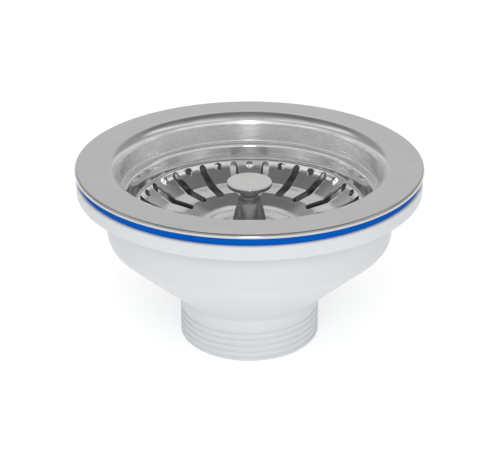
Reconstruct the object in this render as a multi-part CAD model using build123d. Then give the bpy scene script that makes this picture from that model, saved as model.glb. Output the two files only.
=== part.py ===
"""Sink waste: a pressed steel flange and cup clamped to a moulded body, with a lift-out strainer basket.

The waste stands on the end of its threaded outlet, at the origin, with its axis along +Z.
"""

import os
from math import cos, hypot, radians, tan

from build123d import *

# Pressed steel flange and cup
MOUTH_R = 43.9
MOUTH_BEND = 4.5
RIM_WIDTH = 13.6
FLANGE_R = MOUTH_R + RIM_WIDTH
CUP_SHEET = 0.8
LIP_DROP = 1.25
LIP_BEND = 0.9
LEDGE_DROP = 10.4
LEDGE_FALL = 0.4
LEDGE_WIDTH = 1.9
LEDGE_CORNER = 0.7
LEDGE_BEND = 1.6
UPPER_TAPER = 0.7
LOWER_TAPER = 1.0
CUP_DEPTH = 30.5
CUP_FLOOR_BEND = 18.0
WELL_R = 19.8
WELL_DEPTH = 9.0
WELL_TAPER = 0.4
WELL_BEND = 1.6
WELL_HOLE_R = 4.0
WELL_HOLE_COUNT = 8

# Gasket under the flange
GASKET_THICK = 3.2
GASKET_LIP_GAP = 0.2
GASKET_BEND_GAP = 0.6

# Moulded body
BODY_FLANGE_INSET = 0.3
BODY_FLANGE_R = FLANGE_R - BODY_FLANGE_INSET
BODY_FLANGE_THICK = 4.7
BODY_WALL = 2.5
BODY_EDGE = 0.6
BOWL_CUP_GAP = 0.6
BOWL_CORNER = 4.2
BOWL_SHORT = 5.1
CONE_ANGLE = 43.0
OUTLET_R = 23.9
OUTLET_LENGTH = 15.6
OUTLET_WALL = 3.4
OUTLET_CHAMFER = 0.6
THROAT_ROUND = 1.5
BOSS_LENGTH = 11.3
BOSS_WALL = 2.2
BOSS_CUP_GAP = 0.4
WEB_COUNT = 4
WEB_THICK = 2.4
WEB_STEP = 1.0

# Hollow centre screw, its washer and its captive nut
SCREW_R = 5.0
SCREW_HEAD_R = 8.0
SCREW_HEAD_HEIGHT = 3.5
SCREW_HEAD_ROUND = 0.8
SCREW_SLOT_WIDTH = 2.0
SCREW_SLOT_DEPTH = 1.6
SCREW_HOLE_GAP = 0.3
WASHER_THICK = 1.0
WASHER_INSET = 0.4
NUT_FLATS = 16.0
NUT_HEIGHT = 6.0
NUT_POCKET_GAP = 0.1
THREAD_GAP = 0.05

# Strainer basket
BASKET_SHEET = 0.7
BASKET_CUP_GAP = 1.1
HEM_WIDTH = 1.2
HEM_DROP = 0.9
HEM_BEND = 0.75
BASKET_HEIGHT = 9.7
WALL_KNEE_INSET = 1.5
WALL_KNEE_DROP = 2.3
WALL_KNEE_BEND = 4.0
FLOOR_R = 29.8
FLOOR_RISE = 4.0
FLOOR_BEND = 3.0
HUB_EDGE_R = 23.3
HUB_EDGE_RISE = 3.3
HUB_EDGE_BEND = 1.5
HUB_R = 17.0
HUB_BEND = 10.0
HUB_CONE_SHARE = 0.9
SLOT_COUNT = 20
SLOT_WIDTH = 3.0
SLOT_HUB_REACH = 1.4
SLOT_LIP_MARGIN = 0.3
WALL_HOLE_R = 1.45
WALL_HOLE_DROP = 2.2

# Knob, stem and plug seal
KNOB_R = 7.5
KNOB_HEIGHT = 17.3
KNOB_EDGE = 1.4
KNOB_EDGE_ROUND = 0.35
KNOB_DOME = 3.0
NECK_R = 3.75
NECK_LENGTH = 2.2
NECK_ROUND = 2.0
FLARE_ROUND = 4.0
KNOB_BASE_R = 6.8
STEM_R = 2.5
STEM_GRIP = 11.0
STEM_REACH = 9.5
STEM_TIP = 0.8
STEM_BORE_GAP = 0.08
SEAL_HEIGHT = 4.6
SEAL_THICK = 2.4
SEAL_LIP = 1.6
SEAL_ROUND = 0.4
SEAT_GAP = 0.2
RETAINER_R = 10.0
RETAINER_THICK = 1.0
STEM_NUT_FLATS = 8.0
STEM_NUT_HEIGHT = 3.2
CATCH_RING_THICK = 1.2
CATCH_RING_TIP = 2.4

# Levels, from the end of the outlet upwards
bowl_inner_r = MOUTH_R + CUP_SHEET + BOWL_CUP_GAP
bowl_r = bowl_inner_r + BODY_WALL
cone_rise = tan(radians(CONE_ANGLE))
cone_top_z = OUTLET_LENGTH + (bowl_r - OUTLET_R) * cone_rise
flange_z = cone_top_z + CUP_DEPTH - BOWL_SHORT
cup_floor_z = flange_z - CUP_DEPTH
well_floor_z = cup_floor_z - WELL_DEPTH
gasket_z = flange_z - CUP_SHEET - GASKET_THICK
body_under_z = gasket_z - BODY_FLANGE_THICK
boss_top_z = well_floor_z - CUP_SHEET - BOSS_CUP_GAP
boss_end_z = boss_top_z - BOSS_LENGTH
screw_seat_z = well_floor_z + WASHER_THICK
hub_under_z = cup_floor_z + SEAT_GAP + SEAL_HEIGHT
hub_z = hub_under_z + BASKET_SHEET
basket_lip_z = hub_z + BASKET_HEIGHT
retainer_z = hub_under_z - SEAL_THICK
stem_nut_z = retainer_z - RETAINER_THICK
stem_end_z = screw_seat_z + SCREW_HEAD_HEIGHT - STEM_REACH

# Radii that follow from the fits
lower_wall_r = MOUTH_R - UPPER_TAPER - LEDGE_WIDTH - LOWER_TAPER
lower_wall_height = CUP_DEPTH - LEDGE_DROP - LEDGE_FALL - LEDGE_BEND
cup_floor_width = lower_wall_r - WELL_R - WELL_BEND
cup_floor_bend = min(CUP_FLOOR_BEND, lower_wall_height, cup_floor_width)
basket_lip_r = lower_wall_r - BASKET_CUP_GAP
hem_inner_r = basket_lip_r - HEM_WIDTH
knee_r = hem_inner_r - WALL_KNEE_INSET
hub_cone_width = HUB_EDGE_R - HUB_R
hub_cone_length = hypot(hub_cone_width, HUB_EDGE_RISE)
hub_half_turn = (hub_cone_length - hub_cone_width) / HUB_EDGE_RISE
hub_bend = min(HUB_BEND, HUB_CONE_SHARE * hub_cone_length / hub_half_turn - HUB_EDGE_BEND)
outlet_bore_r = OUTLET_R - OUTLET_WALL
screw_hole_r = SCREW_R + SCREW_HOLE_GAP
screw_bore_r = STEM_R + STEM_BORE_GAP
stem_hole_r = STEM_R + THREAD_GAP
boss_r = NUT_FLATS / 2 / cos(radians(30)) + NUT_POCKET_GAP + BOSS_WALL
well_hole_circle_r = (SCREW_HEAD_R + WELL_R - WELL_TAPER - WELL_BEND) / 2
seal_r = WELL_R + WELL_BEND + SEAL_LIP


def turned(points, rounds):
    """A solid of revolution about Z from a closed outline of (radius, height) corners."""
    outline = FilletPolyline(*points, radius=rounds, close=True)
    return revolve(make_face(Plane.XZ * outline), Axis.Z)


def left_of(start, end):
    """The unit vector to the left of the way from one outline point to the next."""
    way = (Vector(*end) - Vector(*start)).normalized()
    return Vector(-way.Y, way.X)


def pressed(points, bends, thick):
    """A sheet pressing: its face follows the points, and its metal lies to their left."""
    sides = [left_of(a, b) for a, b in zip(points, points[1:])]
    back = [Vector(*points[0]) + sides[0] * thick]
    back_bends = []
    for point, before, after, bend in zip(points[1:], sides, sides[1:], bends):
        back.append(Vector(*point) + (before + after) * (thick / (1 + before.dot(after))))
        turns_left = before.X * after.Y - before.Y * after.X > 0
        back_bends.append(max(bend - thick, 0) if turns_left else bend + thick)
    back.append(Vector(*points[-1]) + sides[-1] * thick)
    corners = list(points) + [(p.X, p.Y) for p in reversed(back)]
    return turned(corners, [0, *bends, 0, 0, *reversed(back_bends), 0])


def round_bar(radius, low, high):
    """An upright cylinder on the axis between two heights."""
    return Pos(0, 0, low) * Cylinder(radius, high - low, align=(Align.CENTER, Align.CENTER, Align.MIN))


def hex_bar(flats, low, high):
    """An upright hexagonal bar on the axis between two heights."""
    section = RegularPolygon(flats / 2, 6, major_radius=False)
    return extrude(Pos(0, 0, low) * section, high - low)


def around(shape, count, first=0.0):
    """Copies of a shape, evenly spaced about the axis."""
    return [Rot(0, 0, first + k * 360 / count) * shape for k in range(count)]


def make_strainer_cup():
    """Flange with a turned-down lip, stepped cup, and a well with drain holes round the screw hole."""
    ledge_z = flange_z - LEDGE_DROP
    upper_foot_r = MOUTH_R - UPPER_TAPER
    face = [
        (FLANGE_R, flange_z - LIP_DROP),
        (FLANGE_R, flange_z),
        (MOUTH_R, flange_z),
        (upper_foot_r, ledge_z),
        (upper_foot_r - LEDGE_WIDTH, ledge_z - LEDGE_FALL),
        (lower_wall_r, cup_floor_z),
        (WELL_R, cup_floor_z),
        (WELL_R - WELL_TAPER, well_floor_z),
        (screw_hole_r, well_floor_z),
    ]
    bends = [LIP_BEND, MOUTH_BEND, LEDGE_CORNER, LEDGE_BEND, cup_floor_bend, WELL_BEND, WELL_BEND]
    drain = Pos(well_hole_circle_r, 0, 0) * round_bar(WELL_HOLE_R, well_floor_z - WELL_DEPTH, cup_floor_z)
    return pressed(face, bends, CUP_SHEET) - around(drain, WELL_HOLE_COUNT)


def make_flange_gasket():
    """Flat ring between the flange and the body."""
    inner = MOUTH_R + MOUTH_BEND + GASKET_BEND_GAP
    outer = FLANGE_R - LIP_BEND - GASKET_LIP_GAP
    top = flange_z - CUP_SHEET
    return turned([(inner, gasket_z), (outer, gasket_z), (outer, top), (inner, top)], 0)


def make_waste_body():
    """Flanged bowl, cone and outlet in one moulding, with a boss on webs that holds the nut."""
    cone_back = BODY_WALL / cos(radians(CONE_ANGLE))
    inner_corner_z = OUTLET_LENGTH + (bowl_inner_r - OUTLET_R) * cone_rise + cone_back
    throat_z = OUTLET_LENGTH - OUTLET_WALL * cone_rise + cone_back
    outside = [
        (OUTLET_R - OUTLET_CHAMFER, 0),
        (OUTLET_R, OUTLET_CHAMFER),
        (OUTLET_R, OUTLET_LENGTH),
        (bowl_r, cone_top_z),
        (bowl_r, body_under_z),
        (BODY_FLANGE_R, body_under_z),
        (BODY_FLANGE_R, gasket_z),
    ]
    outside_rounds = [0, 0, BODY_EDGE, BOWL_CORNER, BODY_EDGE, BODY_EDGE, BODY_EDGE]
    inside = [
        (bowl_inner_r, gasket_z),
        (bowl_inner_r, inner_corner_z),
        (outlet_bore_r, throat_z),
        (outlet_bore_r, 0),
    ]
    shell = turned(outside + inside, outside_rounds + [0, BOWL_CORNER, THROAT_ROUND, 0])
    envelope = turned([(0, 0), *outside, (0, gasket_z)], [0, *outside_rounds, 0])

    web_top_z = boss_top_z - WEB_STEP
    web = Pos(bowl_r / 2, 0, (boss_end_z + web_top_z) / 2) * Box(bowl_r, WEB_THICK, web_top_z - boss_end_z)
    spider = envelope & (round_bar(boss_r, boss_end_z, boss_top_z) + around(web, WEB_COUNT))
    pocket = hex_bar(NUT_FLATS + 2 * NUT_POCKET_GAP, boss_end_z - 1, boss_end_z + NUT_HEIGHT)
    return shell + spider - round_bar(screw_hole_r, boss_end_z - 1, boss_top_z + 1) - pocket


def make_boss_nut():
    """Hexagonal nut held in the pocket of the boss."""
    bar = hex_bar(NUT_FLATS, boss_end_z, boss_end_z + NUT_HEIGHT)
    return bar - round_bar(SCREW_R + THREAD_GAP, boss_end_z - 1, boss_end_z + NUT_HEIGHT + 1)


def make_centre_screw():
    """Hollow screw with a slotted round head, which clamps the cup to the body."""
    head_top_z = screw_seat_z + SCREW_HEAD_HEIGHT
    outline = [
        (screw_bore_r, boss_end_z),
        (SCREW_R, boss_end_z),
        (SCREW_R, screw_seat_z),
        (SCREW_HEAD_R, screw_seat_z),
        (SCREW_HEAD_R, head_top_z),
        (screw_bore_r, head_top_z),
    ]
    slot = Pos(0, 0, head_top_z) * Box(3 * SCREW_HEAD_R, SCREW_SLOT_WIDTH, 2 * SCREW_SLOT_DEPTH)
    return turned(outline, [0, 0, 0, 0, SCREW_HEAD_ROUND, 0]) - slot


def make_screw_washer():
    """Sealing washer between the screw's head and the floor of the well."""
    ring = round_bar(SCREW_HEAD_R - WASHER_INSET, well_floor_z, screw_seat_z)
    return ring - round_bar(screw_hole_r, well_floor_z - 1, screw_seat_z + 1)


def make_basket():
    """Pressed dish with a hemmed lip, radial slots from wall to hub, and a hole between each pair."""
    knee_z = basket_lip_z - WALL_KNEE_DROP
    face = [
        (basket_lip_r, basket_lip_z - HEM_DROP),
        (basket_lip_r, basket_lip_z),
        (hem_inner_r, basket_lip_z),
        (knee_r, knee_z),
        (FLOOR_R, hub_z + FLOOR_RISE),
        (HUB_EDGE_R, hub_z + HUB_EDGE_RISE),
        (HUB_R, hub_z),
        (stem_hole_r, hub_z),
    ]
    bends = [HEM_BEND, HEM_BEND, WALL_KNEE_BEND, FLOOR_BEND, HUB_EDGE_BEND, hub_bend]
    dish = pressed(face, bends, BASKET_SHEET)

    slot_in = HUB_EDGE_R - SLOT_HUB_REACH
    slot_out = hem_inner_r - SLOT_LIP_MARGIN
    slot_plan = Pos((slot_in + slot_out) / 2, 0, hub_under_z) * SlotOverall(slot_out - slot_in, SLOT_WIDTH)
    slot = extrude(slot_plan, BASKET_HEIGHT)

    square_to_wall = left_of((hem_inner_r, basket_lip_z), (knee_r, knee_z))
    middle_r = hem_inner_r + square_to_wall.Y * WALL_HOLE_DROP
    middle_z = basket_lip_z - square_to_wall.X * WALL_HOLE_DROP
    drill = Plane(origin=(middle_r, 0, middle_z), z_dir=(square_to_wall.X, 0, square_to_wall.Y))
    hole = drill * Cylinder(WALL_HOLE_R, 4 * BASKET_SHEET)

    half_pitch = 180 / SLOT_COUNT
    return dish - around(slot, SLOT_COUNT, 90 + half_pitch) - around(hole, SLOT_COUNT, 90)


def make_knob():
    """Turned knob with a flat top, a waist and a flared foot, bored for the stem."""
    top_z = hub_z + KNOB_HEIGHT
    neck_top_z = top_z - KNOB_EDGE - KNOB_DOME
    outline = [
        (0, hub_z + STEM_GRIP),
        (stem_hole_r, hub_z + STEM_GRIP),
        (stem_hole_r, hub_z),
        (KNOB_BASE_R, hub_z),
        (NECK_R, neck_top_z - NECK_LENGTH),
        (NECK_R, neck_top_z),
        (KNOB_R, top_z - KNOB_EDGE),
        (KNOB_R, top_z),
        (0, top_z),
    ]
    rounds = [0, 0, 0, 0, FLARE_ROUND, NECK_ROUND, KNOB_EDGE_ROUND, KNOB_EDGE_ROUND, 0]
    return turned(outline, rounds)


def make_stem():
    """Pin through knob, hub and seal, with a groove for the catch ring near its tip."""
    ring_z = stem_end_z + CATCH_RING_TIP
    bar = round_bar(STEM_R, stem_end_z, hub_z + STEM_GRIP - THREAD_GAP)
    bar = chamfer(bar.edges().group_by(Axis.Z)[0], STEM_TIP)
    groove = round_bar(2 * STEM_R, ring_z, ring_z + CATCH_RING_THICK)
    return bar - (groove - round_bar(STEM_R - CATCH_RING_THICK / 2, ring_z - 1, ring_z + CATCH_RING_THICK + 1))


def make_catch_ring():
    """Ring in the stem's groove, which drags in the screw's bore and holds the basket up."""
    ring_z = stem_end_z + CATCH_RING_TIP
    outer = (STEM_R + screw_bore_r) / 2
    inner = STEM_R - CATCH_RING_THICK / 2
    low = ring_z
    high = ring_z + CATCH_RING_THICK
    curve = (outer - inner) / 3
    return turned([(inner, low), (outer, low), (outer, high), (inner, high)], [0, curve, curve, 0])


def make_plug_seal():
    """Rubber plug under the hub, whose lip closes on the rim of the well."""
    lip_z = hub_under_z - SEAL_HEIGHT
    lip_inner_r = seal_r - SEAL_LIP
    shoulder_z = lip_z + SEAL_THICK
    outline = [
        (stem_hole_r, hub_under_z),
        (stem_hole_r, retainer_z),
        (RETAINER_R + SEAL_LIP, retainer_z),
        (lip_inner_r, lip_z),
        (seal_r, lip_z),
        (seal_r, shoulder_z),
        (HUB_R, hub_under_z),
    ]
    return turned(outline, [0, 0, SEAL_ROUND, SEAL_ROUND, SEAL_ROUND, SEAL_ROUND, SEAL_ROUND])


def make_seal_retainer():
    """Plain washer that holds the seal against the hub."""
    return round_bar(RETAINER_R, stem_nut_z, retainer_z) - round_bar(stem_hole_r, stem_nut_z - 1, retainer_z + 1)


def make_stem_nut():
    """Nut on the stem, under the washer."""
    low = stem_nut_z - STEM_NUT_HEIGHT
    return hex_bar(STEM_NUT_FLATS, low, stem_nut_z) - round_bar(stem_hole_r, low - 1, stem_nut_z + 1)


PIECES = {
    "strainer_cup": make_strainer_cup,
    "flange_gasket": make_flange_gasket,
    "waste_body": make_waste_body,
    "boss_nut": make_boss_nut,
    "centre_screw": make_centre_screw,
    "screw_washer": make_screw_washer,
    "basket": make_basket,
    "knob": make_knob,
    "stem": make_stem,
    "catch_ring": make_catch_ring,
    "plug_seal": make_plug_seal,
    "seal_retainer": make_seal_retainer,
    "stem_nut": make_stem_nut,
}

os.makedirs("parts", exist_ok=True)
for name, make in PIECES.items():
    export_step(make(), f"parts/{name}.step")
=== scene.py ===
"""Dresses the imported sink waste: fine meshes for what shows, finishes for every piece, studio and camera."""

import logging
import math
from dataclasses import dataclass
from enum import Enum

import bmesh
import bpy
import numpy as np
from mathutils import Matrix, Vector
from mathutils.geometry import delaunay_2d_cdt


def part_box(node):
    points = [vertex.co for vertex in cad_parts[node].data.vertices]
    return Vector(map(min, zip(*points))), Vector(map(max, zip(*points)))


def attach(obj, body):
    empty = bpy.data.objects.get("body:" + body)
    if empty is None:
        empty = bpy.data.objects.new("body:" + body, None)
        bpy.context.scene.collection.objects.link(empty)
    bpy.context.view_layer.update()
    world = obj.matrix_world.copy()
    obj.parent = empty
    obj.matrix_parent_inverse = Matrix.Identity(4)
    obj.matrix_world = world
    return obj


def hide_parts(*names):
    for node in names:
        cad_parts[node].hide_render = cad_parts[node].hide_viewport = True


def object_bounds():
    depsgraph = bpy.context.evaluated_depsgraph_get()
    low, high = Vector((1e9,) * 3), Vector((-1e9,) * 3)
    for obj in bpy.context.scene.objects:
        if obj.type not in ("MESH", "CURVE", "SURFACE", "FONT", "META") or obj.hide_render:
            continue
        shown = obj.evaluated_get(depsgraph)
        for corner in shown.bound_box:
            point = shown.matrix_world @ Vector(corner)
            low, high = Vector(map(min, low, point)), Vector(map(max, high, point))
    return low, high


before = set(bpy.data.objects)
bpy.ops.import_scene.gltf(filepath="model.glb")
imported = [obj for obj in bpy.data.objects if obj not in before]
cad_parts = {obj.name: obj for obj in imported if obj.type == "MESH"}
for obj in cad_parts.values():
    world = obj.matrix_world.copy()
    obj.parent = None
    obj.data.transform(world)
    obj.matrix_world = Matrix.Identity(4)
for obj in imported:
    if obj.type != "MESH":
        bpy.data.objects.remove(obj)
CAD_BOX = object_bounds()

LOG = logging.getLogger("sink_waste")
MM = 0.001

# Steps of the meshes
TURN_SEGMENTS = 240
KNOB_SEGMENTS = 128
BAR_SEGMENTS = 96
DRAIN_SEGMENTS = 64
HEX_SIDES = 6
ARC_STEP = math.radians(7.5)
FEWEST_ARC_STEPS = 3
SLOT_END_STEPS = 13
SLOT_SIDE_STEPS = 36
HOLE_STEPS = 28
EDGE_STEPS = 2

# Limits and tolerances of the meshes
SHARP_ANGLE = math.radians(38)
BEVEL_ANGLE = math.radians(60)
STRAIGHT = 1e-4
ON_AXIS = 1e-6
SAME_POINT = 1e-6
WELD = 2e-6
CUTTER_SHEETS = 3
CUTTER_OVERRUN = 1.0
GROOVE_START = -0.4

# Patterns of the finishes
PATTERN_RANGE = (0.3, 0.7)
FEW_OCTAVES = 2.0
MORE_OCTAVES = 3.0
ACROSS_THE_GRAIN = 0.25

Point = tuple[float, float]
Colour = tuple[float, float, float]
Socket = bpy.types.NodeSocket


class Body(Enum):
    """The two rigid bodies of the waste."""

    WASTE = "waste"
    STRAINER = "strainer"


class Join(Enum):
    """Ways to work one closed mesh into another."""

    UNION = "UNION"
    CUT = "DIFFERENCE"


class TreeKind(Enum):
    """Kinds of node tree that the script builds."""

    GEOMETRY = "GeometryNodeTree"
    SHADER = "ShaderNodeTree"


class Pattern(Enum):
    """Shader node groups that several finishes share."""

    SPUN_GRAIN = "spun_grain"
    CLOUDING = "clouding"


class Quality(Enum):
    """Inputs of the shader that a finish can change over a piece."""

    COLOUR = "Base Color"
    ROUGHNESS = "Roughness"
    METAL = "Metallic"


class Measure(Enum):
    """Distances that a finish can change with, as the shares of X, Y and Z that count."""

    HEIGHT = (0.0, 0.0, 1.0)
    RADIUS = (1.0, 1.0, 0.0)


def direction(start: Point, end: Point) -> np.ndarray:
    """Unit vector from one outline point to the next."""
    way = np.subtract(end, start)
    return way / np.linalg.norm(way)


def rounded(points: list[Point], radii: list[float], closed: bool) -> list[Point]:
    """Round the corners of an outline with arcs.

    Args:
        points: Corners as (radius, height).
        radii: One radius for each corner; the ends of an open outline take 0.
        closed: Whether the last corner joins the first.

    Returns:
        The outline's points, with each arc cut into short steps.
    """
    count = len(points)
    out: list[Point] = []
    for k, (point, radius) in enumerate(zip(points, radii)):
        at_end = not closed and k in (0, count - 1)
        if at_end or radius <= 0:
            out.append(tuple(point))
            continue
        back = -direction(points[k - 1], point)
        ahead = direction(point, points[(k + 1) % count])
        half = math.acos(max(-1.0, min(1.0, float(back @ ahead)))) / 2
        if half > math.pi / 2 - STRAIGHT:
            out.append(tuple(point))
            continue
        centre = np.add(point, (back + ahead) / np.linalg.norm(back + ahead) * radius / math.sin(half))
        first = np.add(point, back * radius / math.tan(half)) - centre
        sweep = math.pi - 2 * half
        side = 1.0 if back[0] * ahead[1] - back[1] * ahead[0] < 0 else -1.0
        steps = max(FEWEST_ARC_STEPS, math.ceil(sweep / ARC_STEP))
        for s in range(steps + 1):
            a = side * sweep * s / steps
            turn = np.array([[math.cos(a), -math.sin(a)], [math.sin(a), math.cos(a)]])
            out.append(tuple(centre + turn @ first))
    return out


def sheet_section(face: list[Point], bends: list[float], thick: float) -> list[Point]:
    """Closed section of a pressed sheet whose metal lies to the left of its face.

    Args:
        face: Corners of the visible face as (radius, height).
        bends: Bend radii at the inner corners of the face.
        thick: Thickness of the sheet.

    Returns:
        The closed section with its bends rounded.
    """
    ways = [direction(a, b) for a, b in zip(face, face[1:])]
    sides = [np.array([-w[1], w[0]]) for w in ways]
    back = [np.add(face[0], sides[0] * thick)]
    back_bends = []
    for point, before, after, bend in zip(face[1:], sides, sides[1:], bends):
        back.append(np.add(point, (before + after) * thick / (1 + before @ after)))
        turns_left = before[0] * after[1] - before[1] * after[0] > 0
        back_bends.append(max(bend - thick, 0.0) if turns_left else bend + thick)
    back.append(np.add(face[-1], sides[-1] * thick))
    corners = list(face) + [tuple(p) for p in reversed(back)]
    return rounded(corners, [0.0, *bends, 0.0, 0.0, *reversed(back_bends), 0.0], True)


def upright(radius: float, low: float, high: float) -> list[Point]:
    """Open outline of a plain bar on the axis, between two levels."""
    return [(0.0, low), (radius, low), (radius, high), (0.0, high)]


def spin_into(
    bm: bmesh.types.BMesh, outline: list[Point], closed: bool, segments: int = TURN_SEGMENTS
) -> None:
    """Turn an outline about Z and add it to a mesh.

    Args:
        bm: The mesh that takes the new faces.
        outline: Points as (radius, height) in millimetres, metal to their left.
        closed: Whether the last point joins the first.
        segments: Steps of the full turn.
    """
    rings = []
    for r, z in outline:
        if r < ON_AXIS:
            rings.append([bm.verts.new((0.0, 0.0, z * MM))] * segments)
            continue
        angles = (2 * math.pi * k / segments for k in range(segments))
        rings.append([bm.verts.new((r * math.cos(a) * MM, r * math.sin(a) * MM, z * MM)) for a in angles])
    pairs = list(zip(rings, rings[1:] + rings[:1])) if closed else list(zip(rings, rings[1:]))
    for low, high in pairs:
        for k in range(segments):
            n = (k + 1) % segments
            corners = list(dict.fromkeys((low[k], high[k], high[n], low[n])))
            if len(corners) > 2:
                bm.faces.new(corners)


def link_object(name: str, data: bpy.types.ID) -> bpy.types.Object:
    """Make an object of a mesh, light or camera and link it at the origin.

    Args:
        name: Name of the new object.
        data: What the object shows.

    Returns:
        The linked object.
    """
    obj = bpy.data.objects.new(name, data)
    bpy.context.scene.collection.objects.link(obj)
    return obj


def shade(mesh: bpy.types.Mesh) -> None:
    """Shade a mesh smooth between its sharp edges."""
    mesh.shade_smooth()
    mesh.set_sharp_from_angle(angle=SHARP_ANGLE)


def finish_mesh(bm: bmesh.types.BMesh, name: str) -> bpy.types.Object:
    """Weld a mesh, point its faces outwards and make it an object at the origin.

    Args:
        bm: The mesh, which is freed.
        name: Name of the new object.

    Returns:
        The linked object.
    """
    bmesh.ops.remove_doubles(bm, verts=bm.verts, dist=WELD)
    bmesh.ops.recalc_face_normals(bm, faces=bm.faces)
    mesh = bpy.data.meshes.new(name)
    bm.to_mesh(mesh)
    bm.free()
    shade(mesh)
    return link_object(name, mesh)


def turned_bar(outline: list[Point], name: str, segments: int = BAR_SEGMENTS) -> bpy.types.Object:
    """Closed bar from an open outline that starts and ends on the axis.

    Args:
        outline: Points as (radius, height) in millimetres.
        name: Name of the new object.
        segments: Steps of the full turn.

    Returns:
        The linked object.
    """
    bm = bmesh.new()
    spin_into(bm, outline, False, segments)
    return finish_mesh(bm, name)


def apply_modifiers(obj: bpy.types.Object) -> None:
    """Turn an object's evaluated modifiers into its plain mesh.

    Args:
        obj: The object, which keeps no modifier.
    """
    graph = bpy.context.evaluated_depsgraph_get()
    mesh = bpy.data.meshes.new_from_object(obj.evaluated_get(graph), depsgraph=graph)
    obj.modifiers.clear()
    old = obj.data
    obj.data = mesh
    bpy.data.meshes.remove(old)
    mesh.name = obj.name
    shade(mesh)


def boolean(obj: bpy.types.Object, other: bpy.types.Object, way: Join) -> None:
    """Join or cut one closed mesh with another, which is removed.

    Args:
        obj: The mesh that is kept.
        other: The mesh that joins or cuts it.
        way: Whether it joins or cuts.
    """
    step = obj.modifiers.new(way.name, "BOOLEAN")
    step.operation = way.value
    step.solver = "EXACT"
    step.object = other
    apply_modifiers(obj)
    bpy.data.objects.remove(other)


class Tree:
    """A short way to build a node tree with named inputs."""

    def __init__(self, name: str, kind: TreeKind) -> None:
        """Start an empty tree.

        Args:
            name: Name of the tree.
            kind: Whether it makes geometry or shading.
        """
        self.tree = bpy.data.node_groups.new(name, kind.value)
        self.prefix = kind.value.removesuffix("Tree")
        self.ins: dict[str, str] = {}
        self.source = self.tree.nodes.new("NodeGroupInput")
        self.sink = self.tree.nodes.new("NodeGroupOutput")

    def take(self, name: str, kind: str) -> None:
        """Add a named input of a short type, such as Float."""
        made = self.tree.interface.new_socket(name=name, in_out="INPUT", socket_type=f"NodeSocket{kind}")
        self.ins[name] = made.identifier

    def give(self, name: str, kind: str) -> None:
        """Add a named output of a short type, such as Float."""
        self.tree.interface.new_socket(name=name, in_out="OUTPUT", socket_type=f"NodeSocket{kind}")

    def node(self, kind: str, **settings: object) -> bpy.types.Node:
        """Add a node and set its properties.

        Args:
            kind: Full type of a shader node, or a type without the tree's own prefix.
            settings: Properties of the node by name.

        Returns:
            The new node.
        """
        full = kind if kind.startswith("Shader") else self.prefix + kind
        made = self.tree.nodes.new(full)
        for key, value in settings.items():
            setattr(made, key, value)
        return made

    def link(self, out: Socket, into: Socket) -> None:
        """Join two sockets."""
        self.tree.links.new(out, into)

    def feed(self, value: float | Socket, into: Socket) -> None:
        """Set an input to a number, or join a socket to it.

        Args:
            value: The number or the socket.
            into: The input that takes it.
        """
        if isinstance(value, (int, float)):
            into.default_value = value
        else:
            self.link(value, into)

    def math(self, operation: str, *values: float | Socket) -> Socket:
        """Add a Math node.

        Args:
            operation: Blender's name of the operation.
            values: Numbers or sockets, in order.

        Returns:
            The node's output.
        """
        made = self.node("ShaderNodeMath", operation=operation)
        for into, value in zip(made.inputs, values):
            self.feed(value, into)
        return made.outputs[0]

    def ease(self, value: Socket, start: float, end: float | Socket) -> Socket:
        """Pass smoothly from 0 to 1 as a value goes from a start to an end.

        Args:
            value: The value that decides.
            start: Where the passage starts.
            end: Where it ends.

        Returns:
            The share of the passage.
        """
        made = self.node("ShaderNodeMapRange", interpolation_type="SMOOTHSTEP")
        for name, given in (("Value", value), ("From Min", start), ("From Max", end)):
            self.feed(given, made.inputs[name])
        return made.outputs[0]

    def put_out(self, shape: Socket) -> None:
        """Realize, weld and dress a shape and make it the tree's result.

        Args:
            shape: The geometry, in a tree with an input Material and an output Geometry.
        """
        real = self.node("RealizeInstances")
        self.link(shape, real.inputs[0])
        weld = self.node("MergeByDistance")
        weld.inputs["Distance"].default_value = WELD
        self.link(real.outputs[0], weld.inputs["Geometry"])
        finish = self.node("SetMaterial")
        self.link(weld.outputs[0], finish.inputs["Geometry"])
        self.link(self.source.outputs["Material"], finish.inputs["Material"])
        self.link(finish.outputs[0], self.sink.inputs["Geometry"])


def run_nodes(obj: bpy.types.Object, tree: Tree, values: dict[str, object]) -> None:
    """Run a Geometry Nodes tree on an object and keep the result as its plain mesh.

    Args:
        obj: The object that the tree works on.
        tree: The finished tree.
        values: Values of its named inputs.
    """
    step = obj.modifiers.new(tree.tree.name, "NODES")
    step.node_group = tree.tree
    for name, value in values.items():
        step[tree.ins[name]] = value
    apply_modifiers(obj)


def ring_of_copies() -> Tree:
    """Geometry Nodes that repeat a mesh about Z.

    Returns:
        A tree with inputs Geometry, Count, First Turn and Material.
    """
    t = Tree("ring_of_copies", TreeKind.GEOMETRY)
    t.take("Geometry", "Geometry")
    t.take("Count", "Int")
    t.take("First Turn", "Float")
    t.take("Material", "Material")
    t.give("Geometry", "Geometry")
    given = t.source.outputs
    points = t.node("Points")
    t.link(given["Count"], points.inputs["Count"])
    index = t.node("InputIndex")
    step = t.math("DIVIDE", 2 * math.pi, given["Count"])
    angle = t.math("MULTIPLY_ADD", index.outputs[0], step, given["First Turn"])
    turn = t.node("ShaderNodeCombineXYZ")
    t.link(angle, turn.inputs["Z"])
    place = t.node("InstanceOnPoints")
    t.link(points.outputs[0], place.inputs["Points"])
    t.link(given["Geometry"], place.inputs["Instance"])
    t.link(turn.outputs[0], place.inputs["Rotation"])
    t.put_out(place.outputs[0])
    return t


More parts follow.
